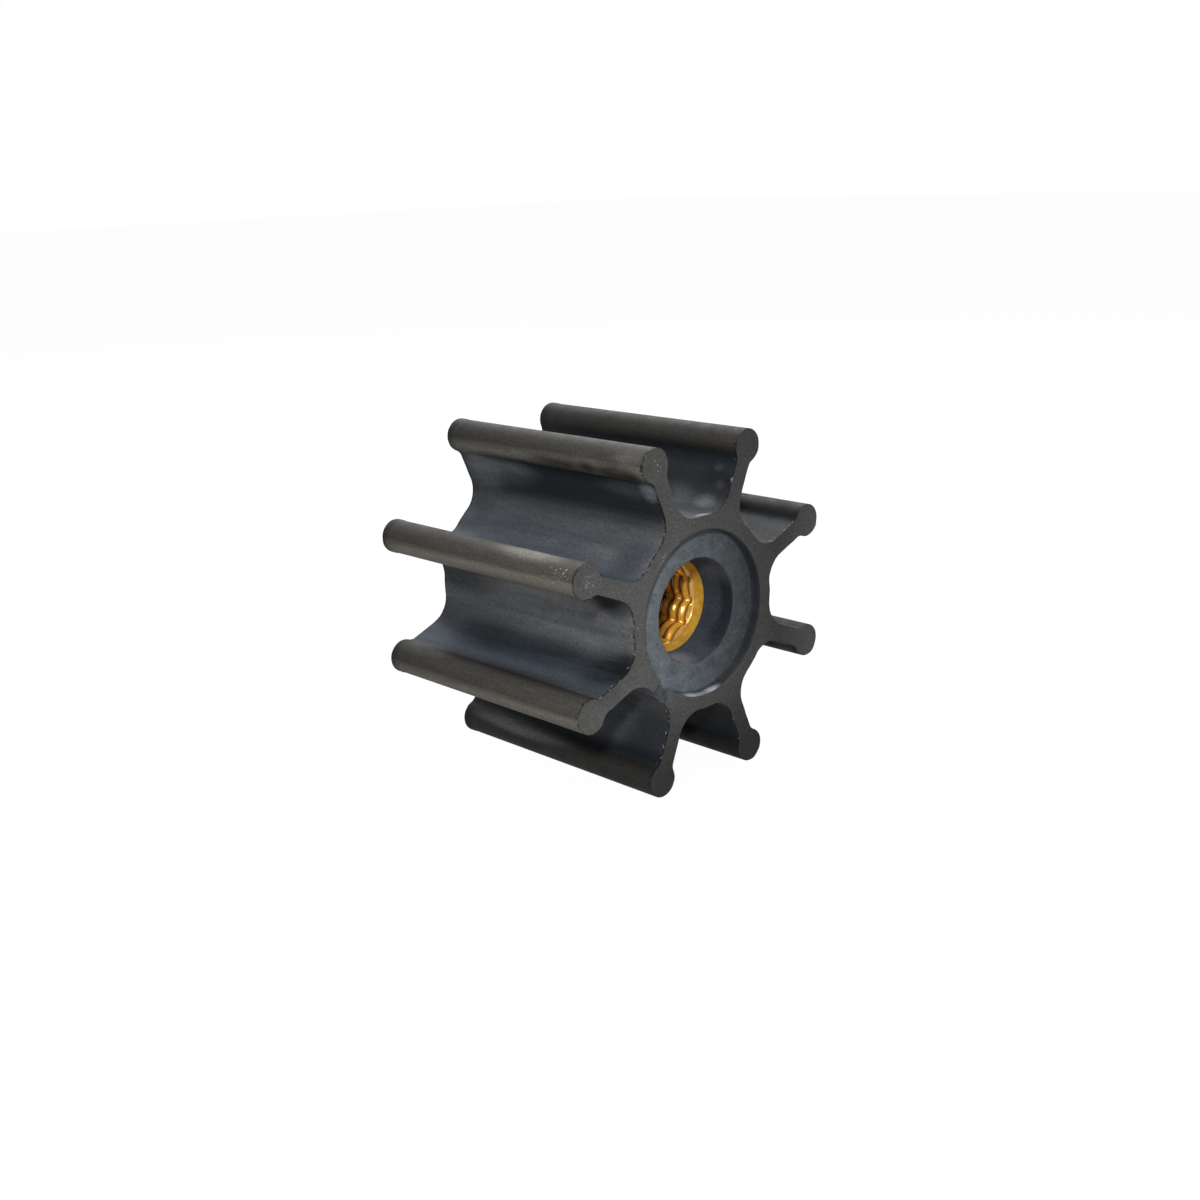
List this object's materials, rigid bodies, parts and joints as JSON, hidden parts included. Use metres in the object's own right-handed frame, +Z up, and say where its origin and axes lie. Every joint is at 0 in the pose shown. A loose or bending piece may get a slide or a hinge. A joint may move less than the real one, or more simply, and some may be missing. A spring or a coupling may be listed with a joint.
{
  "type": "pump impeller",
  "caption": "Flexible rubber pump impeller with straight bead-tipped blades and a moulded-in bronze insert with a lobed spline bore.",
  "frame": {"origin": "centre of the rotor, on the shaft axis, halfway along its width", "axes": "+Y along the shaft axis, away from the recessed end face that has the nick; +Z up, through the middle of a gap between two blades, so that the rotor stands on two blades"},
  "size_m": [0.0604, 0.05, 0.0604],
  "materials": {
    "nitrile_rubber": "satin moulded black nitrile rubber, dusty at the end faces",
    "cast_bronze": "bright machined bronze"
  },
  "bodies": {
    "root": {"rubber_rotor": "nitrile_rubber", "bronze_insert": "cast_bronze"}
  },
  "joints": []
}
